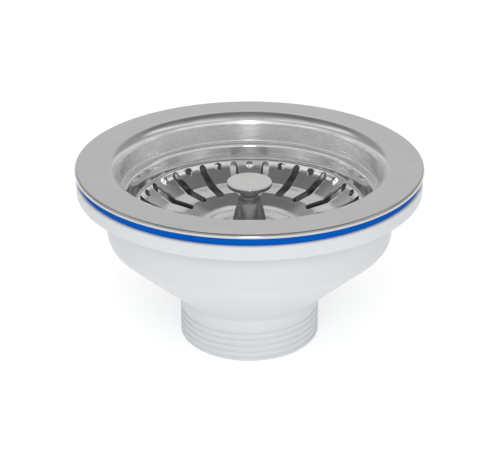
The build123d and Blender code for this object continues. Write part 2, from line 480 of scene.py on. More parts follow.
def thread_skin() -> Tree:
    """Geometry Nodes that roll a flat grid into a right-hand threaded skin.

    The grid's X runs once round from 0 to 1, and its Y up the thread from 0 to 1.

    Returns:
        A tree with inputs Geometry, Crest Radius, Depth, Pitch, Low, High, Run Out and Material.
    """
    t = Tree("thread_skin", TreeKind.GEOMETRY)
    t.take("Geometry", "Geometry")
    for name in ("Crest Radius", "Depth", "Pitch", "Low", "High", "Run Out"):
        t.take(name, "Float")
    t.take("Material", "Material")
    t.give("Geometry", "Geometry")
    given = t.source.outputs
    where = t.node("ShaderNodeSeparateXYZ")
    t.link(t.node("InputPosition").outputs[0], where.inputs[0])
    span = t.math("SUBTRACT", given["High"], given["Low"])
    height = t.math("MULTIPLY_ADD", where.outputs["Y"], span, given["Low"])
    angle = t.math("MULTIPLY", where.outputs["X"], 2 * math.pi)
    phase = t.math("SUBTRACT", t.math("DIVIDE", height, given["Pitch"]), where.outputs["X"])
    wave = t.math("COSINE", t.math("MULTIPLY", phase, 2 * math.pi))
    groove = t.ease(wave, GROOVE_START, 1.0)
    from_low = t.math("SUBTRACT", height, given["Low"])
    from_high = t.math("SUBTRACT", given["High"], height)
    fade = t.ease(t.math("MINIMUM", from_low, from_high), 0.0, given["Run Out"])
    cut = t.math("MULTIPLY", groove, t.math("MULTIPLY", fade, given["Depth"]))
    radius = t.math("SUBTRACT", given["Crest Radius"], cut)
    place = t.node("ShaderNodeCombineXYZ")
    t.link(t.math("MULTIPLY", radius, t.math("COSINE", angle)), place.inputs["X"])
    t.link(t.math("MULTIPLY", radius, t.math("SINE", angle)), place.inputs["Y"])
    t.link(height, place.inputs["Z"])
    move = t.node("SetPosition")
    t.link(given["Geometry"], move.inputs["Geometry"])
    t.link(place.outputs[0], move.inputs["Position"])
    t.put_out(move.outputs[0])
    return t


def spun_grain_group() -> None:
    """Shader group of fine lines that run round the waste's axis, with inputs Scale and Round Scale."""
    t = Tree(Pattern.SPUN_GRAIN.value, TreeKind.SHADER)
    t.take("Scale", "Float")
    t.take("Round Scale", "Float")
    t.give("Grain", "Float")
    given = t.source.outputs
    where = t.node("SeparateXYZ")
    t.link(t.node("TexCoord").outputs["Object"], where.inputs[0])
    x, y, z = where.outputs
    radius = t.math("SQRT", t.math("MULTIPLY_ADD", x, x, t.math("MULTIPLY", y, y)))
    angle = t.math("ARCTAN2", y, x)
    place = t.node("CombineXYZ")
    t.link(t.math("MULTIPLY", radius, given["Scale"]), place.inputs["X"])
    t.link(t.math("MULTIPLY", z, given["Scale"]), place.inputs["Y"])
    t.link(t.math("MULTIPLY", angle, given["Round Scale"]), place.inputs["Z"])
    noise = t.node("TexNoise")
    noise.inputs["Scale"].default_value = 1.0
    noise.inputs["Detail"].default_value = MORE_OCTAVES
    t.link(place.outputs[0], noise.inputs["Vector"])
    t.link(noise.outputs[0], t.sink.inputs["Grain"])


def clouding_group() -> None:
    """Shader group of soft uneven patches, with inputs Scale and Detail."""
    t = Tree(Pattern.CLOUDING.value, TreeKind.SHADER)
    t.take("Scale", "Float")
    t.take("Detail", "Float")
    t.give("Cloud", "Float")
    noise = t.node("TexNoise")
    t.link(t.node("TexCoord").outputs["Object"], noise.inputs["Vector"])
    t.link(t.source.outputs["Scale"], noise.inputs["Scale"])
    t.link(t.source.outputs["Detail"], noise.inputs["Detail"])
    t.link(noise.outputs[0], t.sink.inputs["Cloud"])


@dataclass(frozen=True)
class Change:
    """A share of one quality that passes from one value to another over a span of millimetres."""

    quality: Quality
    measure: Measure
    span: Point
    shares: Point


class Paint:
    """A material under construction around one Principled shader."""

    def __init__(self, name: str) -> None:
        """Start a material with its shader and output.

        Args:
            name: Name of the material.
        """
        self.material = bpy.data.materials.new(name)
        self.material.use_nodes = True
        self.nodes = self.material.node_tree.nodes
        self.links = self.material.node_tree.links
        self.shader = self.nodes["Principled BSDF"]

    def fix(self, socket: str, value: object) -> None:
        """Set one of the shader's own inputs."""
        self.shader.inputs[socket].default_value = value

    def group(self, pattern: Pattern, **values: float) -> Socket:
        """Place a shared group and set its inputs.

        Args:
            pattern: Which group.
            values: Input values, with spaces in their names written as underscores.

        Returns:
            The group's output.
        """
        node = self.nodes.new("ShaderNodeGroup")
        node.node_tree = bpy.data.node_groups[pattern.value]
        for key, value in values.items():
            node.inputs[key.replace("_", " ")].default_value = value
        return node.outputs[0]

    def spread(self, source: Socket, span: Point, ends: Point) -> Socket:
        """Map a span of values onto two ends.

        Args:
            source: The value that is mapped.
            span: Its lowest and highest value.
            ends: What they become.

        Returns:
            The mapped value.
        """
        node = self.nodes.new("ShaderNodeMapRange")
        for name, value in zip(("From Min", "From Max", "To Min", "To Max"), (*span, *ends)):
            node.inputs[name].default_value = value
        self.links.new(source, node.inputs["Value"])
        return node.outputs[0]

    def tint(self, source: Socket, dark: Colour, light: Colour) -> None:
        """Colour the surface between two tones by a pattern.

        Args:
            source: The pattern.
            dark: Tone at the low end of its range.
            light: Tone at the high end.
        """
        ramp = self.nodes.new("ShaderNodeValToRGB")
        for mark, place, tone in zip(ramp.color_ramp.elements, PATTERN_RANGE, (dark, light)):
            mark.position = place
            mark.color = (*tone, 1.0)
        self.links.new(source, ramp.inputs[0])
        self.links.new(ramp.outputs[0], self.shader.inputs["Base Color"])

    def roughen(self, source: Socket, smooth: float, rough: float) -> None:
        """Let a pattern set the roughness between two values."""
        value = self.spread(source, PATTERN_RANGE, (smooth, rough))
        self.links.new(value, self.shader.inputs["Roughness"])

    def distance(self, measure: Measure) -> Socket:
        """Height of the surface above the outlet's end, or its distance from the axis.

        Args:
            measure: Which of the two.

        Returns:
            The distance in metres.
        """
        place = self.nodes.new("ShaderNodeTexCoord")
        part = self.nodes.new("ShaderNodeVectorMath")
        part.operation = "MULTIPLY"
        part.inputs[1].default_value = measure.value
        self.links.new(place.outputs["Object"], part.inputs[0])
        length = self.nodes.new("ShaderNodeVectorMath")
        length.operation = "LENGTH"
        self.links.new(part.outputs[0], length.inputs[0])
        return length.outputs["Value"]

    def vary(self, change: Change) -> None:
        """Let a quality change over the piece.

        A pattern that feeds the quality is multiplied by the share; otherwise the share feeds it.

        Args:
            change: The quality, what it changes with and its shares.
        """
        low, high = change.span
        share = self.spread(self.distance(change.measure), (low * MM, high * MM), change.shares)
        into = self.shader.inputs[change.quality.value]
        if not into.links:
            self.links.new(share, into)
            return
        product = self.nodes.new("ShaderNodeVectorMath")
        product.operation = "SCALE"
        self.links.new(into.links[0].from_socket, product.inputs[0])
        self.links.new(share, product.inputs["Scale"])
        self.links.new(product.outputs[0], into)

    def bump(self, layers: list[tuple[Socket, float]]) -> None:
        """Raise the surface by patterns.

        Args:
            layers: Each pattern with its depth in metres.
        """
        height: Socket | None = None
        for source, depth in layers:
            layer = self.nodes.new("ShaderNodeMath")
            layer.operation = "MULTIPLY_ADD"
            layer.inputs[1].default_value = depth
            layer.inputs[2].default_value = 0.0
            self.links.new(source, layer.inputs[0])
            if height is not None:
                self.links.new(height, layer.inputs[2])
            height = layer.outputs[0]
        node = self.nodes.new("ShaderNodeBump")
        node.inputs["Distance"].default_value = 1.0
        self.links.new(height, node.inputs["Height"])
        self.links.new(node.outputs[0], self.shader.inputs["Normal"])


@dataclass(frozen=True)
class SteelFinish:
    """Bright metal with spun lines, faint clouding and the slight waves of a pressing."""

    name: str
    dark: Colour
    light: Colour
    smooth: float
    rough: float
    grain_scale: float = 4000.0
    round_scale: float = 5.0
    grain_depth: float = 1.2e-6
    wave_scale: float = 90.0
    wave_depth: float = 3e-5
    spun: float = 0.6
    changes: tuple[Change, ...] = ()

    def make(self) -> bpy.types.Material:
        """Build the material.

        Returns:
            The material, under the finish's name.
        """
        paint = Paint(self.name)
        grain = paint.group(Pattern.SPUN_GRAIN, Scale=self.grain_scale, Round_Scale=self.round_scale)
        cloud = paint.group(Pattern.CLOUDING, Scale=self.wave_scale, Detail=FEW_OCTAVES)
        paint.tint(cloud, self.dark, self.light)
        paint.roughen(grain, self.smooth, self.rough)
        paint.bump([(grain, self.grain_depth), (cloud, self.wave_depth)])
        paint.fix("Metallic", 1.0)
        paint.fix("Anisotropic", self.spun)
        paint.fix("Anisotropic Rotation", ACROSS_THE_GRAIN)
        for change in self.changes:
            paint.vary(change)
        return paint.material


@dataclass(frozen=True)
class MouldedFinish:
    """Moulded plastic or rubber with a fine skin texture."""

    name: str
    dark: Colour
    light: Colour
    smooth: float
    rough: float
    cloud_scale: float = 45.0
    skin_scale: float = 2500.0
    skin_depth: float = 1.5e-6
    specular: float = 0.5

    def make(self) -> bpy.types.Material:
        """Build the material.

        Returns:
            The material, under the finish's name.
        """
        paint = Paint(self.name)
        skin = paint.group(Pattern.CLOUDING, Scale=self.skin_scale, Detail=FEW_OCTAVES)
        cloud = paint.group(Pattern.CLOUDING, Scale=self.cloud_scale, Detail=MORE_OCTAVES)
        paint.tint(cloud, self.dark, self.light)
        paint.roughen(cloud, self.smooth, self.rough)
        paint.bump([(skin, self.skin_depth)])
        paint.fix("Specular IOR Level", self.specular)
        return paint.material


@dataclass(frozen=True)
class FloorFinish:
    """Matt pale floor, faintly uneven, with a little light of its own."""

    name: str
    dark: Colour
    light: Colour
    rough: float
    glow: float
    cloud_scale: float = 3.0

    def make(self) -> bpy.types.Material:
        """Build the material.

        Returns:
            The material, under the finish's name.
        """
        paint = Paint(self.name)
        cloud = paint.group(Pattern.CLOUDING, Scale=self.cloud_scale, Detail=FEW_OCTAVES)
        paint.tint(cloud, self.dark, self.light)
        paint.fix("Roughness", self.rough)
        paint.fix("Specular IOR Level", 0.0)
        paint.fix("Emission Color", (1.0, 1.0, 1.0, 1.0))
        paint.fix("Emission Strength", self.glow)
        return paint.material


PRESSED_STEEL = SteelFinish(
    "pressed_steel",
    (0.895, 0.895, 0.888),
    (0.94, 0.94, 0.933),
    0.15,
    0.22,
    grain_depth=7e-7,
    changes=(
        # Painted shade: the floor under the basket darkened in colour
        Change(Quality.COLOUR, Measure.HEIGHT, (38.5, 44.0), (0.35, 1.0)),
        # Brushed, slightly satin wall below the flange
        Change(Quality.ROUGHNESS, Measure.HEIGHT, (58.5, 61.0), (1.55, 1.0)),
        Change(Quality.METAL, Measure.HEIGHT, (58.5, 61.0), (0.86, 1.0)),
        # Polished wall below the ledge
        Change(Quality.ROUGHNESS, Measure.HEIGHT, (51.8, 53.0), (0.36, 1.0)),
        # Painted shade: the rolled edge of the flange darkened in colour, toning down its bright reflection
        Change(Quality.COLOUR, Measure.RADIUS, (56.7, 57.4), (1.0, 0.65)),
    ),
)
BASKET_STEEL = SteelFinish(
    "basket_steel",
    (0.90, 0.90, 0.893),
    (0.945, 0.945, 0.938),
    0.06,
    0.11,
    wave_scale=140.0,
    wave_depth=1.1e-4,
    spun=0.3,
)
TURNED_STEEL = SteelFinish(
    "turned_steel",
    (0.93, 0.925, 0.91),
    (0.97, 0.965, 0.95),
    0.09,
    0.14,
    grain_scale=7000.0,
    grain_depth=2e-6,
    wave_depth=1e-5,
    spun=0.5,
    changes=(
        # Painted shade: the neck darkened in colour to stand in for its dark reflections, under a satin head
        Change(Quality.COLOUR, Measure.HEIGHT, (54.9, 55.5), (0.58, 1.0)),
        Change(Quality.METAL, Measure.HEIGHT, (54.9, 55.5), (1.0, 0.80)),
    ),
)
PLAIN_STEEL = SteelFinish("plain_steel", (0.52, 0.52, 0.52), (0.60, 0.60, 0.60), 0.25, 0.38)
NUT_BRASS = SteelFinish("nut_brass", (0.60, 0.42, 0.18), (0.70, 0.51, 0.24), 0.25, 0.40)
WHITE_PLASTIC = MouldedFinish("white_plastic", (0.588, 0.61, 0.632), (0.608, 0.63, 0.654), 0.36, 0.46)
BLUE_RUBBER = MouldedFinish("blue_rubber", (0.0, 0.078, 0.40), (0.0, 0.092, 0.45), 0.5, 0.62, specular=0.03)
BLACK_RUBBER = MouldedFinish("black_rubber", (0.018, 0.018, 0.019), (0.03, 0.03, 0.03), 0.5, 0.65)
FLOOR_WHITE = FloorFinish("floor_white", (0.86, 0.86, 0.86), (0.88, 0.88, 0.88), rough=0.9, glow=0.36)


def dress(obj: bpy.types.Object, material: bpy.types.Material) -> None:
    """Give every face of an object one material.

    Args:
        obj: The object.
        material: Its only material from now on.
    """
    obj.data.materials.clear()
    obj.data.materials.append(material)
    for face in obj.data.polygons:
        face.material_index = 0


def stand_for(obj: bpy.types.Object, node: str, body: Body) -> None:
    """Let a new piece ride on a body in place of a CAD node.

    Args:
        obj: The new piece.
        node: The CAD node that it replaces.
        body: The body that carries it.
    """
    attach(obj, body.value)
    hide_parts(node)
    LOG.info("%s: %d faces, for %s", obj.name, len(obj.data.polygons), node)


def reach(node: str) -> tuple[float, float, float]:
    """Outer radius, lowest and highest level of a CAD node, in millimetres."""
    low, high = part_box(node)
    return high.x / MM, low.z / MM, high.z / MM


@dataclass
class StrainerCup:
    """Pressed flange and stepped cup with its drain well."""

    sheet: float = 0.8
    lip_drop: float = 1.25
    lip_bend: float = 0.9
    mouth_r: float = 43.9
    mouth_bend: float = 4.5
    ledge_drop: float = 10.4
    ledge_fall: float = 0.4
    ledge_width: float = 1.9
    ledge_corner: float = 0.7
    ledge_bend: float = 1.6
    upper_taper: float = 0.7
    lower_taper: float = 1.0
    floor_bend: float = 18.0
    well_r: float = 19.8
    well_depth: float = 9.0
    well_taper: float = 0.4
    well_bend: float = 1.6
    screw_hole_r: float = 5.3
    drain_r: float = 4.0
    drain_circle_r: float = 12.9
    drain_count: int = 8

    def section(self) -> list[Point]:
        """Closed section of the pressing.

        Returns:
            Points as (radius, height) in millimetres.
        """
        flange_r, low, top = reach("strainer_cup")
        well_z = low + self.sheet
        floor_z = well_z + self.well_depth
        foot_r = self.mouth_r - self.upper_taper
        ledge_z = top - self.ledge_drop
        inner_r = foot_r - self.ledge_width
        face = [
            (flange_r, top - self.lip_drop),
            (flange_r, top),
            (self.mouth_r, top),
            (foot_r, ledge_z),
            (inner_r, ledge_z - self.ledge_fall),
            (inner_r - self.lower_taper, floor_z),
            (self.well_r, floor_z),
            (self.well_r - self.well_taper, well_z),
            (self.screw_hole_r, well_z),
        ]
        bends = [
            self.lip_bend,
            self.mouth_bend,
            self.ledge_corner,
            self.ledge_bend,
            self.floor_bend,
            self.well_bend,
            self.well_bend,
        ]
        return sheet_section(face, bends, self.sheet)

    def drain_cutters(self, copies: Tree) -> bpy.types.Object:
        """Ring of upright bars that cut the drain holes.

        Args:
            copies: The tree that repeats a mesh about Z.

        Returns:
            The bars as one object.
        """
        _, low, _ = reach("strainer_cup")
        half = CUTTER_SHEETS * self.sheet
        bar = bmesh.new()
        spin_into(bar, upright(self.drain_r, low - half, low + half), False, DRAIN_SEGMENTS)
        bmesh.ops.translate(bar, verts=bar.verts, vec=(self.drain_circle_r * MM, 0, 0))
        cutters = finish_mesh(bar, "drain_cutters")
        run_nodes(cutters, copies, {"Count": self.drain_count, "First Turn": 0.0})
        return cutters

    def build(self, copies: Tree) -> None:
        """Make the cup, cut its drain holes and dress it.

        Args:
            copies: The tree that repeats a mesh about Z.
        """
        bm = bmesh.new()
        spin_into(bm, self.section(), True)
        cup = finish_mesh(bm, "pressed_cup")
        boolean(cup, self.drain_cutters(copies), Join.CUT)
        dress(cup, PRESSED_STEEL.make())
        stand_for(cup, "strainer_cup", Body.WASTE)


@dataclass
class FlangeGasket:
    """Blue ring between the flange and the body."""

    inner_r: float = 49.0
    edge: float = 0.35

    def build(self) -> None:
        """Make the ring with softened edges and dress it."""
        outer_r, low, high = reach("flange_gasket")
        corners = [(self.inner_r, low), (outer_r, low), (outer_r, high), (self.inner_r, high)]
        bm = bmesh.new()
        spin_into(bm, rounded(corners, [self.edge] * len(corners), True), True)
        ring = finish_mesh(bm, "gasket_ring")
        dress(ring, BLUE_RUBBER.make())
        stand_for(ring, "flange_gasket", Body.WASTE)


@dataclass
class WasteBody:
    """White moulding: flange, bowl, cone, threaded outlet and the boss on its webs."""

    wall: float = 2.5
    flange_thick: float = 4.7
    edge: float = 0.6
    bowl_r: float = 47.8
    bowl_corner: float = 4.2
    under_round: float = 0.6
    cone_angle: float = 43.0
    outlet_r: float = 23.9
    outlet_length: float = 15.6
    outlet_wall: float = 3.4
    chamfer: float = 0.6
    throat_round: float = 1.5
    thread_pitch: float = 2.309
    thread_depth: float = 0.45
    thread_low: float = 0.6
    thread_high: float = 12.2
    thread_run_out: float = 1.2
    thread_rows: int = 112
    boss_length: float = 11.3
    boss_r: float = 11.54
    boss_gap: float = 0.4
    nut_flats: float = 16.2
    nut_height: float = 6.0
    screw_hole_r: float = 5.3
    web_count: int = 4
    web_thick: float = 2.4
    web_step: float = 1.0

    def skin(self) -> list[Point]:
        """Open outline from the top of the thread, over the flange and down the bore to the thread's foot.

        Returns:
            Points as (radius, height) in millimetres.
        """
        flange_r, _, top = reach("waste_body")
        rise = math.tan(math.radians(self.cone_angle))
        back = self.wall / math.cos(math.radians(self.cone_angle))
        inner_r = self.bowl_r - self.wall
        bore_r = self.outlet_r - self.outlet_wall
        under = top - self.flange_thick
        corners = [
            (self.outlet_r, self.thread_high),
            (self.outlet_r, self.outlet_length),
            (self.bowl_r, self.outlet_length + (self.bowl_r - self.outlet_r) * rise),
            (self.bowl_r, under),
            (flange_r, under),
            (flange_r, top),
            (inner_r, top),
            (inner_r, self.outlet_length + (inner_r - self.outlet_r) * rise + back),
            (bore_r, self.outlet_length - self.outlet_wall * rise + back),
            (bore_r, 0.0),
            (self.outlet_r - self.chamfer, 0.0),
            (self.outlet_r, self.thread_low),
        ]
        radii = [
            0.0,
            self.edge,
            self.bowl_corner,
            self.under_round,
            self.edge,
            self.edge,
            self.edge,
            self.bowl_corner,
            self.throat_round,
            self.edge,
            0.0,
            0.0,
        ]
        return rounded(corners, radii, False)

    def thread(self, threads: Tree) -> bpy.types.Object:
        """Threaded skin of the outlet, rolled from a flat grid that runs from 0 to 1 both ways.

        Args:
            threads: The tree that rolls a grid into a thread.

        Returns:
            The skin, open at both ends.
        """
        half = 0.5
        bm = bmesh.new()
        bmesh.ops.create_grid(bm, x_segments=TURN_SEGMENTS, y_segments=self.thread_rows, size=half)
        bmesh.ops.translate(bm, verts=bm.verts, vec=(half, half, 0.0))
        mesh = bpy.data.meshes.new("outlet_thread")
        bm.to_mesh(mesh)
        bm.free()
        obj = link_object("outlet_thread", mesh)
        sizes = {
            "Crest Radius": self.outlet_r,
            "Depth": self.thread_depth,
            "Pitch": self.thread_pitch,
            "Low": self.thread_low,
            "High": self.thread_high,
            "Run Out": self.thread_run_out,
        }
        run_nodes(obj, threads, {name: size * MM for name, size in sizes.items()})
        return obj

    def web(self, low: float, high: float, number: int) -> bpy.types.Object:
        """One upright web from the boss into the wall of the throat.

        Args:
            low: Level of its lower edge.
            high: Level of its upper edge.
            number: Which of the webs, counted from +X.

        Returns:
            The web as a closed plate.
        """
        rise = math.tan(math.radians(self.cone_angle))
        mid_r = self.outlet_r - self.outlet_wall / 2
        flank = [
            (self.screw_hole_r, low),
            (mid_r, low),
            (mid_r, self.outlet_length),
            (mid_r + (high - self.outlet_length) / rise, high),
            (self.screw_hole_r, high),
        ]
        bm = bmesh.new()
        half = self.web_thick / 2
        near = bm.faces.new([bm.verts.new((r * MM, -half * MM, z * MM)) for r, z in flank])
        grown = bmesh.ops.extrude_face_region(bm, geom=[near])
        moved = [v for v in grown["geom"] if isinstance(v, bmesh.types.BMVert)]
        bmesh.ops.translate(bm, verts=moved, vec=(0, self.web_thick * MM, 0))
        turn = 2 * math.pi * number / self.web_count
        bmesh.ops.rotate(bm, verts=bm.verts, cent=(0, 0, 0), matrix=Matrix.Rotation(turn, 3, "Z"))
        return finish_mesh(bm, f"web_{number}")

    def boss(self) -> bpy.types.Object:
        """Nut boss on its webs, bored for the screw and pocketed for the nut.

        Returns:
            The boss as a closed mesh.
        """
        _, cup_low, _ = reach("strainer_cup")
        top = cup_low - self.boss_gap
        end = top - self.boss_length
        below = end - CUTTER_OVERRUN
        boss = turned_bar(upright(self.boss_r, end, top), "boss")
        for number in range(self.web_count):
            boolean(boss, self.web(end, top - self.web_step, number), Join.UNION)
        hole = turned_bar(upright(self.screw_hole_r, below, top + CUTTER_OVERRUN), "hole")
        boolean(boss, hole, Join.CUT)
        corner_r = self.nut_flats / 2 / math.cos(math.pi / HEX_SIDES)
        pocket = turned_bar(upright(corner_r, below, end + self.nut_height), "pocket", HEX_SIDES)
        boolean(boss, pocket, Join.CUT)
        return boss

    def build(self, threads: Tree) -> None:
        """Weld skin and thread, join the boss and dress the moulding.

        Args:
            threads: The tree that rolls a grid into a thread.
        """
        bm = bmesh.new()
        thread = self.thread(threads)
        bm.from_mesh(thread.data)
        bpy.data.objects.remove(thread)
        spin_into(bm, self.skin(), False)
        body = finish_mesh(bm, "moulded_body")
        boolean(body, self.boss(), Join.UNION)
        dress(body, WHITE_PLASTIC.make())
        stand_for(body, "waste_body", Body.WASTE)


def inside(spot: Vector, loop: list[Vector]) -> bool:
    """Whether a flat point lies within a closed loop.

    Args:
        spot: The point.
        loop: Corners of the loop in order.

    Returns:
        True within the loop.
    """
    hits = 0
    for p, q in zip(loop, loop[1:] + loop[:1]):
        if (p.y > spot.y) != (q.y > spot.y):
            hits += spot.x < p.x + (spot.y - p.y) / (q.y - p.y) * (q.x - p.x)
    return hits % 2 == 1


@dataclass
class Basket:
    """Pressed strainer dish with radial slots and a round hole between each pair."""

    sheet: float = 0.7
    hem_width: float = 1.2
    hem_drop: float = 0.9
    hem_bend: float = 0.75
    knee_inset: float = 1.5
    knee_drop: float = 2.3
    knee_bend: float = 4.0
    floor_r: float = 29.8
    floor_rise: float = 4.0
    floor_bend: float = 3.0
    hub_edge_r: float = 23.3
    hub_edge_rise: float = 3.3
    hub_edge_bend: float = 1.5
    hub_r: float = 17.0
    hub_bend: float = 10.0
    stem_hole_r: float = 2.55
    slot_count: int = 20
    slot_width: float = 3.0
    slot_hub_reach: float = 1.4
    slot_lip_margin: float = 0.3
    hole_r: float = 1.45
    hole_drop: float = 2.2
    edge: float = 0.09
    grid_step: float = 0.45
    grid_hub_margin: float = 0.9
    grid_hem_margin: float = 0.225

    def hem_r(self) -> float:
        """Inner radius of the hemmed lip."""
        return reach("basket")[0] - self.hem_width

    def face(self) -> list[Point]:
        """Upper face of the dish from hem to hub, with its bends rounded.

        Returns:
            Points as (radius, height) in millimetres.
        """
        lip_r, low, lip_z = reach("basket")
        hub_z = low + self.sheet
        corners = [
            (lip_r, lip_z - self.hem_drop),
            (lip_r, lip_z),
            (self.hem_r(), lip_z),
            (self.hem_r() - self.knee_inset, lip_z - self.knee_drop),
            (self.floor_r, hub_z + self.floor_rise),
            (self.hub_edge_r, hub_z + self.hub_edge_rise),
            (self.hub_r, hub_z),
            (self.stem_hole_r, hub_z),
        ]
        bends = [
            self.hem_bend,
            self.hem_bend,
            self.knee_bend,
            self.floor_bend,
            self.hub_edge_bend,
            self.hub_bend,
        ]
        return rounded(corners, [0.0, *bends, 0.0], False)

    def dish(self) -> tuple[np.ndarray, np.ndarray, np.ndarray]:
        """Face from the stem hole outwards.

        Returns:
            Length along the face, radius and height of its points.
        """
        line = np.array(self.face()[::-1])
        steps = np.hypot(*np.diff(line, axis=0).T)
        return np.concatenate(([0.0], np.cumsum(steps))), line[:, 0], line[:, 1]

    def slot_outline(self, along: np.ndarray, radius: np.ndarray) -> list[Point]:
        """Outline of the slot at 0 degrees.

        Args:
            along: Lengths along the face.
            radius: Radii at those lengths.

        Returns:
            Points as (angle, length along the face).
        """
        half = self.slot_width / 2
        near = self.hub_edge_r - self.slot_hub_reach + half
        far = self.hem_r() - self.slot_lip_margin - half
        arcs = np.linspace(-math.pi / 2, math.pi / 2, SLOT_END_STEPS)
        side = np.linspace(far, near, SLOT_SIDE_STEPS)[1:-1]
        plan = [(far + half * math.cos(a), half * math.sin(a)) for a in arcs]
        plan += [(x, half) for x in side]
        plan += [(near - half * math.cos(a), -half * math.sin(a)) for a in arcs]
        plan += [(x, -half) for x in side[::-1]]
        return [(math.atan2(y, x), float(np.interp(math.hypot(x, y), radius, along))) for x, y in plan]

    def hole_outline(self, along: np.ndarray, radius: np.ndarray) -> list[Point]:
        """Outline of the round hole half a pitch on from the slot.

        Args:
            along: Lengths along the face.
            radius: Radii at those lengths.

        Returns:
            Points as (angle, length along the face).
        """
        slant = math.hypot(self.knee_inset, self.knee_drop)
        middle_r = self.hem_r() - self.hole_drop * self.knee_inset / slant
        middle = float(np.interp(middle_r, radius, along))
        turn = math.pi / self.slot_count
        points = []
        for a in np.linspace(0, 2 * math.pi, HOLE_STEPS, endpoint=False):
            points.append((turn + self.hole_r * math.sin(a) / middle_r, middle + self.hole_r * math.cos(a)))
        return points

    def flat_sector(
        self, loops: list[list[Vector]], low: float, high: float
    ) -> tuple[list[Vector], list[list[int]]]:
        """Triangles over one unrolled pitch, with the outlines of its openings among their edges.

        Args:
            loops: Outlines of the openings.
            low: Length along the face at which the sector starts.
            high: Length along the face at which it ends.

        Returns:
            The points and, for each triangle, the numbers of its corners.
        """
        pitch = 2 * math.pi / self.slot_count
        start = -pitch / 4
        columns = np.linspace(start, start + pitch, TURN_SEGMENTS // self.slot_count + 1)
        rows = np.linspace(low, high, round((high - low) / self.grid_step) + 1)
        outlines = [point for loop in loops for point in loop]
        edges = []
        first = 0
        for loop in loops:
            edges += [(first + k, first + (k + 1) % len(loop)) for k in range(len(loop))]
            first += len(loop)
        grid = []
        for i, a in enumerate(columns):
            for j, s in enumerate(rows):
                spot = Vector((a * self.floor_r, s))
                on_border = i in (0, len(columns) - 1) or j in (0, len(rows) - 1)
                if on_border or min((spot - p).length for p in outlines) > self.grid_step / 2:
                    grid.append(spot)
        points, _, faces, *_ = delaunay_2d_cdt(outlines + grid, edges, [], 0, SAME_POINT)
        return points, faces

    def sector(self, low: float, high: float) -> bpy.types.Object:
        """One pitch of the slotted zone, meshed flat and rolled onto the dish.

        Args:
            low: Length along the face at which the zone starts.
            high: Length along the face at which it ends.

        Returns:
            The sector as a bare face.
        """
        along, radius, height = self.dish()
        openings = [self.slot_outline(along, radius), self.hole_outline(along, radius)]
        loops = [[Vector((a * self.floor_r, s)) for a, s in outline] for outline in openings]
        points, faces = self.flat_sector(loops, low, high)
        bm = bmesh.new()
        verts = []
        for u, s in points:
            a = u / self.floor_r
            r = float(np.interp(s, along, radius)) * MM
            z = float(np.interp(s, along, height)) * MM
            verts.append(bm.verts.new((r * math.cos(a), r * math.sin(a), z)))
        for face in faces:
            centre = sum((points[k] for k in face), Vector((0, 0))) / len(face)
            if not any(inside(centre, loop) for loop in loops):
                bm.faces.new([verts[k] for k in face])
        bmesh.ops.delete(bm, geom=[v for v in bm.verts if not v.link_faces], context="VERTS")
        return finish_mesh(bm, "basket_sector")

    def thicken(self, basket: bpy.types.Object) -> None:
        """Give the dish its sheet thickness and break its cut edges.

        Args:
            basket: The dish as a bare face.
        """
        thick = basket.modifiers.new("sheet", "SOLIDIFY")
        thick.thickness = self.sheet * MM
        thick.offset = -1.0
        thick.use_even_offset = True
        bevel = basket.modifiers.new("edges", "BEVEL")
        bevel.width = self.edge * MM
        bevel.segments = EDGE_STEPS
        bevel.limit_method = "ANGLE"
        bevel.angle_limit = BEVEL_ANGLE
        apply_modifiers(basket)

    def build(self, copies: Tree) -> None:
        """Make the slotted zone, spin hub and hem onto it and dress the dish.

        Args:
            copies: The tree that repeats a mesh about Z.
        """
        along, radius, height = self.dish()
        inner_r = self.hub_edge_r - self.slot_hub_reach - self.grid_hub_margin
        outer_r = self.hem_r() + self.grid_hem_margin
        low, high = (float(np.interp(r, radius, along)) for r in (inner_r, outer_r))
        slotted = self.sector(low, high)
        material = BASKET_STEEL.make()
        first = math.pi / 2 + math.pi / self.slot_count
        run_nodes(slotted, copies, {"Count": self.slot_count, "First Turn": first, "Material": material})
        bm = bmesh.new()
        bm.from_mesh(slotted.data)
        bpy.data.objects.remove(slotted)
        line = list(zip(along, radius, height))
        at = [(float(np.interp(s, along, radius)), float(np.interp(s, along, height))) for s in (low, high)]
        spin_into(bm, [(r, z) for s, r, z in line if s < low] + [at[0]], False)
        spin_into(bm, [at[1]] + [(r, z) for s, r, z in line if s > high], False)
        basket = finish_mesh(bm, "slotted_basket")
        self.thicken(basket)
        dress(basket, material)
        stand_for(basket, "basket", Body.STRAINER)


@dataclass
class Knob:
    """Turned knob with a flat top, a waist and a flared foot."""

    radius: float = 7.5
    edge: float = 1.4
    edge_round: float = 0.35
    dome: float = 3.0
    neck_r: float = 3.75
    neck_length: float = 2.2
    neck_round: float = 2.0
    flare_round: float = 4.0
    base_r: float = 6.8
    bore_r: float = 2.55
    bore_depth: float = 11.0

    def build(self) -> None:
        """Turn the knob and dress it."""
        _, low, top = reach("knob")
        neck_top = top - self.edge - self.dome
        corners = [
            (0.0, low + self.bore_depth),
            (self.bore_r, low + self.bore_depth),
            (self.bore_r, low),
            (self.base_r, low),
            (self.neck_r, neck_top - self.neck_length),
            (self.neck_r, neck_top),
            (self.radius, top - self.edge),
            (self.radius, top),
            (0.0, top),
        ]
        radii = [0, 0, 0, 0, self.flare_round, self.neck_round, self.edge_round, self.edge_round, 0]
        knob = turned_bar(rounded(corners, radii, False), "turned_knob", KNOB_SEGMENTS)
        dress(knob, TURNED_STEEL.make())
        stand_for(knob, "knob", Body.STRAINER)


